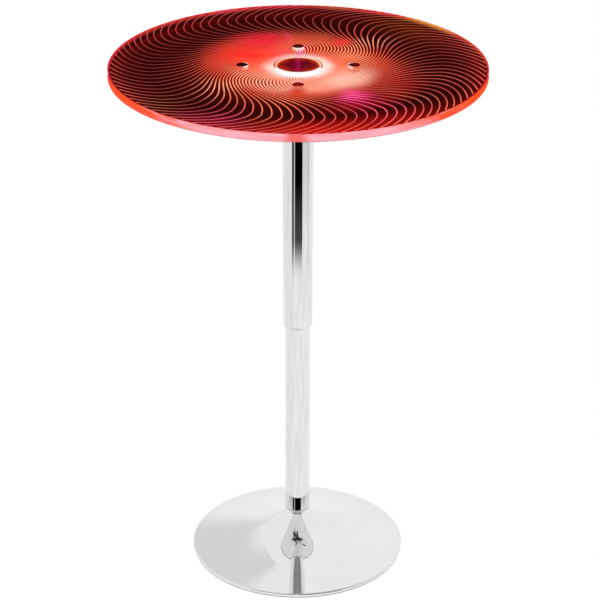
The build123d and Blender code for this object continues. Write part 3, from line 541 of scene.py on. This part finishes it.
def turned_steel(looks):
    """Turned and zinc plated steel, with fine rings from the tool that spread its sheen. The
    tool's feed of about 0.1 mm is drawn at 0.5 mm, so that it shows."""
    material, add = new_material("turned_zinc_plated_steel")
    on = place_on(add)
    ring_pitch = 0.5 * MILLIMETRE
    along = add("ADD", on["radius"], on["z"])
    rings = add("SINE", add("MULTIPLY", along, math.tau / ring_pitch))
    cloud = add("noise", on["place"], grain(14.29), 3.0)
    add("output", add(
        "principled", Base_Color=add("mix", cloud, tint("#a8abb0"), tint("#c6c8cc")),
        Metallic=1.0, Roughness=add("ease", cloud, 0.3, 0.7, 0.22, 0.38),
        Normal=add("bump", rings, 0.01 * MILLIMETRE, 0.6),
    ))
    return material


def cast_iron(looks):
    """Sand cast iron under black paint, pebbled by the mould."""
    material, add = new_material("sand_cast_iron_painted")
    on = place_on(add)
    pebble = add("noise", on["place"], grain(2.381), 4.0, 0.6)
    add("output", add(
        "principled", Base_Color=add("mix", pebble, tint("#1c1d20"), tint("#303236")),
        Metallic=0.0, Roughness=0.62, Normal=add("bump", pebble, 0.3 * MILLIMETRE),
    ))
    return material


def powder_coat(looks):
    """Black powder coat baked on pressed steel, whose orange peel breaks up the shine."""
    material, add = new_material("black_powder_coat_baked")
    on = place_on(add)
    peel = add("noise", on["place"], grain(1.5385))
    dust = add("ease", add("noise", on["place"], grain(33.33), 4.0), 0.45, 0.75)
    add("output", add(
        "principled", Base_Color=add("mix", dust, tint("#17181a"), tint("#232427")),
        Roughness=add("ease", dust, 0.0, 1.0, 0.36, 0.5),
        Normal=add("bump", peel, 0.06 * MILLIMETRE),
    ))
    return material


def nickel_brass(looks):
    """Nickel plated spring brass, a little yellow where the plating is thin."""
    material, add = new_material("nickel_plated_brass")
    on = place_on(add)
    worn = add("noise", on["place"], grain(4.167), 3.0)
    tone = add("mix", add("ease", worn, 0.4, 0.7), tint("#c8b48c"), tint("#d2c8b4"))
    roughness = add("ease", worn, 0.3, 0.7, 0.2, 0.34)
    add("output", add("principled", Base_Color=tone, Metallic=1.0, Roughness=roughness))
    return material


# Plastics and rubbers


def grained_plastic(name, hex_dark, hex_pale, roughness, grain_millimetres, depth_millimetres):
    """Moulded plastic with a spark-eroded grain, so that its sheen breaks up. The real grain is
    about a tenth as wide as the one that is drawn here, which is as coarse as it needs to show."""
    material, add = new_material(name)
    on = place_on(add)
    unevenness = 0.05
    grained = add("noise", on["place"], grain(grain_millimetres))
    cloud = add("noise", on["place"], grain(40.0), 3.0)
    add("output", add(
        "principled", Base_Color=add("mix", cloud, tint(hex_dark), tint(hex_pale)),
        Roughness=add("ease", cloud, 0.3, 0.7, roughness - unevenness, roughness + unevenness),
        Normal=add("bump", grained, depth_millimetres * MILLIMETRE),
    ))
    return material


def black_rubber(looks):
    """Moulded black rubber, matt with a grey bloom."""
    return grained_plastic("moulded_black_rubber", "#161616", "#222222", 0.8, 0.9, 0.06)


def black_nylon(looks):
    """Glass filled black nylon, moulded, with a dry sheen."""
    return grained_plastic("moulded_glass_filled_nylon", "#141416", "#1e1e20", 0.48, 1.0, 0.04)


def natural_nylon(looks):
    """Natural nylon, moulded, waxy and slightly yellow."""
    return grained_plastic("moulded_natural_nylon", "#ddd8c8", "#e8e4d6", 0.42, 1.4, 0.03)


def white_abs(looks):
    """White ABS, moulded with a fine satin grain."""
    return grained_plastic("moulded_white_abs", "#dcdcda", "#e8e8e6", 0.4, 0.9, 0.04)


def black_abs(looks):
    """Black ABS, moulded with a coarse spark-eroded grain."""
    return grained_plastic("moulded_black_abs", "#131314", "#1c1c1e", 0.5, 1.1, 0.09)


def foam_tape(looks):
    """Closed cell foam tape, with cells that show at its cut edge."""
    return grained_plastic("cut_closed_cell_foam", "#a8a8a4", "#c4c4c0", 0.9, 1.6, 0.25)


def lead_sheath(looks):
    """Soft extruded sheath, smooth and slightly shiny."""
    return grained_plastic("extruded_pvc_sheath", "#12090a", "#1e1012", 0.35, 2.0, 0.02)


def printed_film(looks):
    """Flexible circuit film with copper pads between the chips."""
    material, add = new_material("flexible_circuit_film")
    on = place_on(add)
    chip_count = 18
    wave = add("ABSOLUTE", add("SINE", add("MULTIPLY", on["turn"], chip_count / 2)))
    pad = add("ease", wave, 0.93, 0.96)
    tone = add("mix", pad, tint("#e4e2da"), tint("#b8743c"))
    add("output", add("principled", Base_Color=tone, Roughness=0.4, Metallic=0.0))
    return material


def solder_mask(looks):
    """Glass fibre board under green solder mask, with paler copper runs below it."""
    material, add = new_material("solder_masked_board")
    on = place_on(add)
    pitch = 2.4 * MILLIMETRE
    along = add("ADD", on["x"], on["y"])
    wave = add("ABSOLUTE", add("SINE", add("MULTIPLY", along, math.pi / pitch)))
    run = add("ease", wave, 0.8, 0.9, 0.0, 0.7)
    add("output", add(
        "principled", Base_Color=add("mix", run, tint("#0c4a26"), tint("#2a7a48")),
        Roughness=0.25, Normal=add("bump", run, 0.03 * MILLIMETRE),
    ))
    return material


def cell_jacket(looks):
    """Plain shrink film over a battery cell: dark with one paler band near its end."""
    material, add = new_material("shrink_film_over_steel")
    on = place_on(add)
    row_angle = math.radians(45.0)
    band_start, band_end = -118 * MILLIMETRE, -120 * MILLIMETRE
    along_x = add("MULTIPLY", on["x"], math.cos(row_angle))
    along_y = add("MULTIPLY", on["y"], math.sin(row_angle))
    band = add("ease", add("ADD", along_x, along_y), band_start, band_end)
    tone = add("mix", band, tint("#2a2c30"), tint("#b0803c"))
    add("output", add(
        "principled", Base_Color=tone, Roughness=0.28, Metallic=0.3, Coat_Weight=0.4
    ))
    return material


MATERIALS = {
    "chrome": chrome_plate,
    "cast_iron": cast_iron,
    "turned_steel": turned_steel,
    "black_steel": powder_coat,
    "black_rubber": black_rubber,
    "black_nylon": black_nylon,
    "natural_nylon": natural_nylon,
    "clear_acrylic": clear_acrylic,
    "black_backing": backing_sheet,
    "red_cap": translucent_cap,
    "black_cap": black_cap,
    "white_abs": white_abs,
    "black_abs": black_abs,
    "led_lens": light_chip,
    "strip_film": printed_film,
    "circuit_board": solder_mask,
    "cell_jacket": cell_jacket,
    "brass": nickel_brass,
    "foam_tape": foam_tape,
    "lead_sheath": lead_sheath,
}

# Materials made so far, by the slot that they stand for
made = {}


def finish_nodes(looks, *nodes):
    """Gives CAD nodes the material of their slot in the record."""
    slots = {part["node"]: part["material_slot"] for part in frame["record"]["subparts"]}
    for node in nodes:
        slot = slots[node]
        material = made.get(slot) or MATERIALS[slot](looks)
        made[slot] = material
        for place in frame["nodes"][node].material_slots:
            place.material = material


def new_object(name, mesh, material):
    """An object at the origin that takes over a finished mesh."""
    data = bpy.data.meshes.new(name)
    mesh.to_mesh(data)
    mesh.free()
    data.materials.append(material)
    thing = bpy.data.objects.new(name, data)
    bpy.context.scene.collection.objects.link(thing)
    return thing


def new_piece(name, mesh, material, body):
    """A finished piece that rides on a body."""
    piece = new_object(name, mesh, material)
    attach(piece, body)
    return piece


def turned_ring(inner, outer, low, high, steps=180):
    """Mesh of a ring about the column's axis with a square section."""
    ring = bmesh.new()
    corners = ((inner, low), (outer, low), (outer, high), (inner, high))
    outline = [ring.verts.new((radius, 0, height)) for radius, height in corners]
    edges = [ring.edges.new((outline[index - 1], outline[index])) for index in range(len(outline))]
    bmesh.ops.spin(
        ring, geom=edges + outline, axis=(0, 0, 1), cent=(0, 0, 0), angle=math.tau, steps=steps,
        use_merge=True,
    )
    bmesh.ops.remove_doubles(ring, verts=ring.verts, dist=0.01 * MILLIMETRE)
    bmesh.ops.recalc_face_normals(ring, faces=ring.faces)
    return ring


# Operators


class LITTABLE_OT_clear_top(bpy.types.Operator):
    """Finishes the clear top and its backing, and paints the light that the inside of its rim
    mirrors back
    """

    bl_idname = "littable.clear_top"
    bl_label = "Clear top"

    def execute(self, context):
        looks = context.scene.table_looks
        finish_nodes(looks, "tabletop_panel", "backing_disc")
        # A glowing ring just inside the rim, where the light that the rim mirrors back is painted
        low = panel_bottom + 0.3 * MILLIMETRE
        high = top_height - 0.8 * MILLIMETRE
        inner = top_radius - 3.0 * MILLIMETRE
        outer = top_radius - 1.5 * MILLIMETRE
        mirror = turned_ring(inner, outer, low, high)
        new_piece("rim_inside_glow", mirror, painted_rim_reflection(looks), "upper")
        print_low = panel_bottom + 0.08 * MILLIMETRE
        print_high = panel_bottom + 0.2 * MILLIMETRE
        print_inner = cap_radius + 1.6 * MILLIMETRE
        print_outer = top_radius - 1.2 * MILLIMETRE
        ink = turned_ring(print_inner, print_outer, print_low, print_high)
        new_piece("printed_ground", ink, lit_print(looks), "upper")
        return {"FINISHED"}


class LITTABLE_OT_wavy_lines(bpy.types.Operator):
    """Cuts the wavy lines under the face of the top"""

    bl_idname = "littable.wavy_lines"
    bl_label = "Wavy lines"

    def execute(self, context):
        looks = context.scene.table_looks
        lines = looks.lines
        strip = bmesh.new()
        height = top_height - lines.depth
        half = lines.width / 2
        path = [self.place(lines, index / lines.steps, height) for index in range(lines.steps + 1)]
        ends = [strip.verts.new(path[0] @ Vector((0, side, 0))) for side in (-half, half)]
        edge = strip.edges.new(ends)
        for before, after in zip(path, path[1:]):
            grown = bmesh.ops.extrude_edge_only(strip, edges=[edge])["geom"]
            moved = [item for item in grown if isinstance(item, bmesh.types.BMVert)]
            edge = next(
                item for item in grown
                if isinstance(item, bmesh.types.BMEdge) and set(item.verts) == set(moved)
            )
            bmesh.ops.transform(strip, matrix=after @ before.inverted(), verts=moved)
        bmesh.ops.recalc_face_normals(strip, faces=strip.faces)
        bmesh.ops.solidify(strip, geom=strip.faces[:], thickness=lines.thickness)
        bmesh.ops.spin(
            strip, geom=strip.verts[:] + strip.edges[:] + strip.faces[:], axis=(0, 0, 1),
            cent=(0, 0, 0), angle=math.tau * (lines.count - 1) / lines.count,
            steps=lines.count - 1, use_duplicate=True,
        )
        bmesh.ops.recalc_face_normals(strip, faces=strip.faces)
        new_piece("wavy_lines", strip, engraved_line(looks), "upper")
        return {"FINISHED"}

    @staticmethod
    def point(lines, along):
        """Point of the first line at a share of its way out, flat about the column's axis."""
        radius = lines.inner_share + (lines.outer_share - lines.inner_share) * along
        swing = lines.twist / (1 + math.exp((lines.twist_middle - radius) / lines.twist_width))
        back = max(0.0, (radius - lines.back_start) / (1 - lines.back_start))
        turn = lines.first + swing - lines.back_swing * back ** lines.back_power
        return Vector((math.cos(turn), math.sin(turn), 0)) * radius * top_radius

    @classmethod
    def place(cls, lines, along, height):
        """Place and heading of the first line at a share of its way out."""
        small = 0.001
        here = cls.point(lines, along)
        ahead = cls.point(lines, along + small) - cls.point(lines, along - small)
        heading = Matrix.Rotation(math.atan2(ahead.y, ahead.x), 4, "Z")
        return Matrix.Translation((here.x, here.y, height)) @ heading


class LITTABLE_OT_caps(bpy.types.Operator):
    """Finishes the bolts, their washers and caps, and the cap of the light"""

    bl_idname = "littable.caps"
    bl_label = "Caps and bolts"

    def execute(self, context):
        looks = context.scene.table_looks
        finish_nodes(looks, "light_cap", "bolt_caps", "top_bolts", "bolt_washers", "bolt_nuts")
        return {"FINISHED"}


class LITTABLE_OT_light_module(bpy.types.Operator):
    """Finishes the light module in the middle of the top"""

    bl_idname = "littable.light_module"
    bl_label = "Light module"

    def execute(self, context):
        looks = context.scene.table_looks
        finish_nodes(looks, "light_hub", "led_strip", "led_chips", "hub_screws", "light_lead")
        return {"FINISHED"}


class LITTABLE_OT_chromed_pieces(bpy.types.Operator):
    """Finishes the trumpet base, the column and the sleeve"""

    bl_idname = "littable.chromed_pieces"
    bl_label = "Chromed pieces"

    def execute(self, context):
        looks = context.scene.table_looks
        finish_nodes(looks, "base_shell", "lower_column", "upper_sleeve")
        return {"FINISHED"}


class LITTABLE_OT_base_inside(bpy.types.Operator):
    """Finishes what the base holds"""

    bl_idname = "littable.base_inside"
    bl_label = "Inside the base"

    def execute(self, context):
        looks = context.scene.table_looks
        finish_nodes(
            looks, "base_ballast", "floor_ring", "hub_tube", "base_washer", "base_nut",
            "column_foot",
        )
        return {"FINISHED"}


class LITTABLE_OT_gas_lift(bpy.types.Operator):
    """Finishes the gas lift, its bearing and its guides"""

    bl_idname = "littable.gas_lift"
    bl_label = "Gas lift"

    def execute(self, context):
        looks = context.scene.table_looks
        finish_nodes(
            looks, "guide_bush", "bearing_lower_race", "bearing_cage", "bearing_balls",
            "bearing_upper_race", "piston_rod", "rod_clip", "clip_washer", "rod_bumper", "piston",
            "piston_seal", "gas_cylinder", "cylinder_gland", "valve_body", "valve_pin",
            "sleeve_glide", "sleeve_collar",
        )
        return {"FINISHED"}


class LITTABLE_OT_under_top(bpy.types.Operator):
    """Finishes the mount plate, the lift housing and the lever"""

    bl_idname = "littable.under_top"
    bl_label = "Under the top"

    def execute(self, context):
        looks = context.scene.table_looks
        finish_nodes(
            looks, "mount_plate", "plate_pads", "lift_housing", "taper_socket", "pivot_pin",
            "pivot_clip", "release_lever", "lever_grip",
        )
        return {"FINISHED"}


class LITTABLE_OT_battery_box(bpy.types.Operator):
    """Finishes the battery box and what it holds"""

    bl_idname = "littable.battery_box"
    bl_label = "Battery box"

    def execute(self, context):
        looks = context.scene.table_looks
        finish_nodes(
            looks, "battery_box", "box_tape", "battery_cover", "battery_cells",
            "battery_contacts", "control_board", "switch_body", "power_button", "cover_screws",
        )
        return {"FINISHED"}


class LITTABLE_OT_stage(bpy.types.Operator):
    """Sets the camera, the lights, the pale floor and the dark cards that chrome mirrors"""

    bl_idname = "littable.stage"
    bl_label = "Stage"

    def execute(self, context):
        studio = context.scene.table_looks.studio
        self.set_camera(context.scene, studio)
        self.set_world(context.scene, studio)
        self.set_floor()
        self.set_lamps(context.scene, studio)
        self.set_cards()
        context.scene.view_settings.view_transform = "Standard"
        return {"FINISHED"}

    @staticmethod
    def set_camera(scene, studio):
        """The camera at the photo's viewing angle."""
        data = bpy.data.cameras.new("photo_camera")
        data.sensor_width = 36.0
        data.lens = studio.camera_lens
        data.shift_x = studio.camera_shift
        camera = bpy.data.objects.new("photo_camera", data)
        camera.location = (0, -studio.camera_distance, studio.camera_height)
        camera.rotation_euler = (math.pi / 2 - studio.camera_pitch, studio.camera_roll, 0)
        scene.collection.objects.link(camera)
        scene.camera = camera

    @staticmethod
    def shown_white(add):
        """One where the camera, a mirror or clear material looks, and nought for soft light."""
        path = add("light path").outputs
        seen = add("MAXIMUM", path["Is Camera Ray"], path["Is Glossy Ray"])
        return add("MAXIMUM", seen, path["Is Transmission Ray"])

    @classmethod
    def set_world(cls, scene, studio):
        """A world that looks white and gives even light."""
        world = bpy.data.worlds.new("white_studio")
        world.use_nodes = True
        world.node_tree.nodes.clear()
        add = partial(add_node, world.node_tree)
        level = add("line", cls.shown_white(add), 0.0, 1.0, studio.fill, 1.0)
        add("world output", add("background", (1, 1, 1, 1), level))
        scene.world = world

    @classmethod
    def set_floor(cls):
        """A pale floor that keeps the table's shadow near the base and is white further out."""
        floor_radius = 14.0
        pale_end, white_start, white_at_base = 1.0, 2.2, 0.88
        mesh = bmesh.new()
        bmesh.ops.create_circle(mesh, cap_ends=True, segments=64, radius=floor_radius)
        material, add = new_material("pale_floor")
        pale = add("diffuse", (0.95, 0.95, 0.95, 1))
        white = add("emission", (1, 1, 1, 1), 1.0)
        far = place_on(add)["radius"]
        white_share = add("ease", far, pale_end, white_start, white_at_base, 1.0)
        factor = add("MULTIPLY", cls.shown_white(add), white_share)
        add("output", add("mix shaders", factor, pale, white))
        new_object("floor", mesh, material)

    @staticmethod
    def set_lamps(scene, studio):
        """A wide key from the left front, a weaker one from the right and one from above."""
        aimed_at = Vector((0, 0, 0.5))
        lamps = (
            ("key", (-2.6, -2.4, 3.2), 2.2, studio.key),
            ("fill", (2.8, -1.8, 2.4), 2.2, studio.key * 0.5),
            ("top", (0.2, 1.2, 3.6), 2.6, studio.key * 0.6),
        )
        for name, place, size, power in lamps:
            data = bpy.data.lights.new(name, "AREA")
            data.shape = "DISK"
            data.size = size
            data.energy = power
            lamp = bpy.data.objects.new(name, data)
            lamp.location = place
            aim = aimed_at - Vector(place)
            lamp.rotation_euler = aim.to_track_quat("-Z", "Y").to_euler()
            lamp.visible_glossy = False
            scene.collection.objects.link(lamp)

    @classmethod
    def set_cards(cls):
        """What only mirrors see: a studio floor that ends in the dark in front, dim walls about
        it, a grey ceiling over the camera and a soft grey flag behind the table on the left."""
        room_radius, wall_height, steps = 3.3, 1.9, 96
        floor = bmesh.new()
        bmesh.ops.create_circle(floor, cap_ends=True, segments=steps, radius=room_radius)
        bmesh.ops.translate(floor, vec=(0, 0, 3 * MILLIMETRE), verts=floor.verts)
        cls.card("mirrored_floor", floor, cls.floor_level)

        wall = bmesh.new()
        foot = wall.verts.new((room_radius, 0, 0))
        head = wall.verts.new((room_radius, 0, wall_height))
        edge = wall.edges.new((foot, head))
        bmesh.ops.spin(
            wall, geom=[foot, head, edge], axis=(0, 0, 1), cent=(0, 0, 0), angle=-math.pi,
            steps=steps,
        )
        cls.card("mirrored_wall", wall, cls.wall_level)

        ceiling = cls.flat_mesh((6.0, 2.6), (0, -3.4, 4.2), 0.0)
        cls.card("mirrored_ceiling", ceiling, cls.ceiling_level)
        flag = cls.flat_mesh((1.2, 3.0), (-1.7, 3.4, 3.2), math.pi / 2)
        cls.card("mirrored_flag", flag, cls.flag_level)

    @staticmethod
    def flat_mesh(half_sizes, place, tilt):
        """Mesh of a flat card, tilted about the line across the view."""
        mesh = bmesh.new()
        bmesh.ops.create_grid(mesh, x_segments=1, y_segments=1, size=1.0)
        bmesh.ops.scale(mesh, vec=(*half_sizes, 1.0), verts=mesh.verts)
        placed = Matrix.Translation(place) @ Matrix.Rotation(tilt, 4, "X")
        bmesh.ops.transform(mesh, matrix=placed, verts=mesh.verts)
        return mesh

    @staticmethod
    def from_camera(add, on):
        """Degrees about the axis from the camera's side, growing to the right."""
        return add("DEGREES", add("ARCTAN2", on["x"], add("MULTIPLY", on["y"], -1.0)))

    @staticmethod
    def dark_side(add, side, low, high, soft):
        """Full dark between two angles, but for a paler upright slit left of its middle."""
        slit = window(add, side, -31.0, -22.5, 1.2, 0.62)
        return add("MULTIPLY", window(add, side, low, high, soft), add("SUBTRACT", 1.0, slit))

    @classmethod
    def floor_level(cls, add, on):
        """White under the table, and in front dark from about a metre and a half on."""
        side = cls.from_camera(add, on)
        far = on["radius"]
        fade = add(
            "ADD", add("ease", far, 1.32, 1.57, 0.0, 0.94), add("ease", far, 1.57, 2.0, 0.0, 0.06)
        )
        losses = [add("MULTIPLY", cls.dark_side(add, side, -45.0, 33.5, 2.5), fade)]
        # Grey bands: from, to and softness in degrees, strength, and where each starts and is full
        for low, high, soft, strength, start, full in (
            (-43.0, -35.0, 2.0, 0.5, 1.15, 1.6),
            (78.0, 90.0, 5.0, 0.2, 1.05, 1.5),
            (20.0, 95.0, 8.0, 0.22, 1.4, 2.2),
        ):
            band = window(add, side, low, high, soft, strength)
            losses.append(add("MULTIPLY", band, add("ease", far, start, full)))
        losses.append(window(add, side, -110.0, -44.0, 12.0, 0.06))
        level = 0.98
        for loss in losses:
            level = add("MULTIPLY", level, add("SUBTRACT", 1.0, loss))
        return level

    @classmethod
    def wall_level(cls, add, on):
        """Dark behind the camera, grey at both sides of it, white above."""
        side = cls.from_camera(add, on)
        dark = cls.dark_side(add, side, -46.0, 33.5, 3.0)
        grey = window(add, side, -85.0, 85.0, 12.0, 0.45)
        grey = add("MULTIPLY", grey, add("ease", on["z"], 0.0, 0.7))
        level = add("MULTIPLY", add("SUBTRACT", 1.0, dark), add("SUBTRACT", 1.0, grey))
        low = add("ease", on["z"], 1.85, 1.2)
        return add("SUBTRACT", 1.0, add("MULTIPLY", low, add("SUBTRACT", 1.0, level)))

    @classmethod
    def ceiling_level(cls, add, on):
        """Grey, with a paler gap straight over the camera, and white towards its edges."""
        greyness = 0.68
        loss = add("SUBTRACT", greyness, window(add, on["x"], -0.25, 0.1, 0.12, 0.2))
        loss = add("MULTIPLY", loss, window(add, on["x"], -3.8, 3.8, 2.0))
        loss = add("MULTIPLY", loss, window(add, on["y"], -5.6, -1.2, 0.4))
        return add("SUBTRACT", 1.0, loss)

    @classmethod
    def flag_level(cls, add, on):
        """Light grey, darkest towards its right side and gone at its left and lower edges."""
        greyness = 0.2
        loss = add("ease", on["x"], -2.8, -1.3, 0.0, greyness)
        loss = add("MULTIPLY", loss, add("ease", on["x"], -0.7, -1.1))
        loss = add("MULTIPLY", loss, add("ease", on["z"], 0.4, 1.6))
        return add("SUBTRACT", 1.0, loss)

    @classmethod
    def card(cls, name, mesh, level):
        """A card that only mirrors see, with the brightness that a function of its place gives."""
        material, add = new_material(name)
        add("output", add("emission", Strength=level(add, place_on(add))))
        card = new_object(name, mesh, material)
        card.visible_camera = False
        card.visible_diffuse = False
        card.visible_shadow = False
        card.visible_transmission = False


OPERATORS = (
    LITTABLE_OT_clear_top,
    LITTABLE_OT_wavy_lines,
    LITTABLE_OT_caps,
    LITTABLE_OT_light_module,
    LITTABLE_OT_chromed_pieces,
    LITTABLE_OT_base_inside,
    LITTABLE_OT_gas_lift,
    LITTABLE_OT_under_top,
    LITTABLE_OT_battery_box,
    LITTABLE_OT_stage,
)


class LITTABLE_PT_sidebar(bpy.types.Panel):
    """Lists the steps and the values"""

    bl_idname = "LITTABLE_PT_sidebar"
    bl_label = "Lit bar table"
    bl_space_type = "VIEW_3D"
    bl_region_type = "UI"
    bl_category = "Lit table"

    def draw(self, context):
        looks = context.scene.table_looks
        for operator in OPERATORS:
            self.layout.operator(operator.bl_idname)
        for group in (looks.lines, looks.lit, looks.studio):
            box = self.layout.box()
            for name in group.__annotations__:
                box.prop(group, name)


CLASSES = (LinePattern, LitColours, Studio, TableLooks, *OPERATORS, LITTABLE_PT_sidebar)


def register():
    """Adds the classes and the values to Blender."""
    for cls in CLASSES:
        bpy.utils.register_class(cls)
    bpy.types.Scene.table_looks = bpy.props.PointerProperty(type=TableLooks)


def unregister():
    """Takes the values and the classes out again."""
    del bpy.types.Scene.table_looks
    for cls in reversed(CLASSES):
        bpy.utils.unregister_class(cls)


def main():
    """Registers the add-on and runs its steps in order."""
    register()
    for operator in OPERATORS:
        group, name = operator.bl_idname.split(".")
        getattr(getattr(bpy.ops, group), name)()


if __name__ == "__main__":
    main()
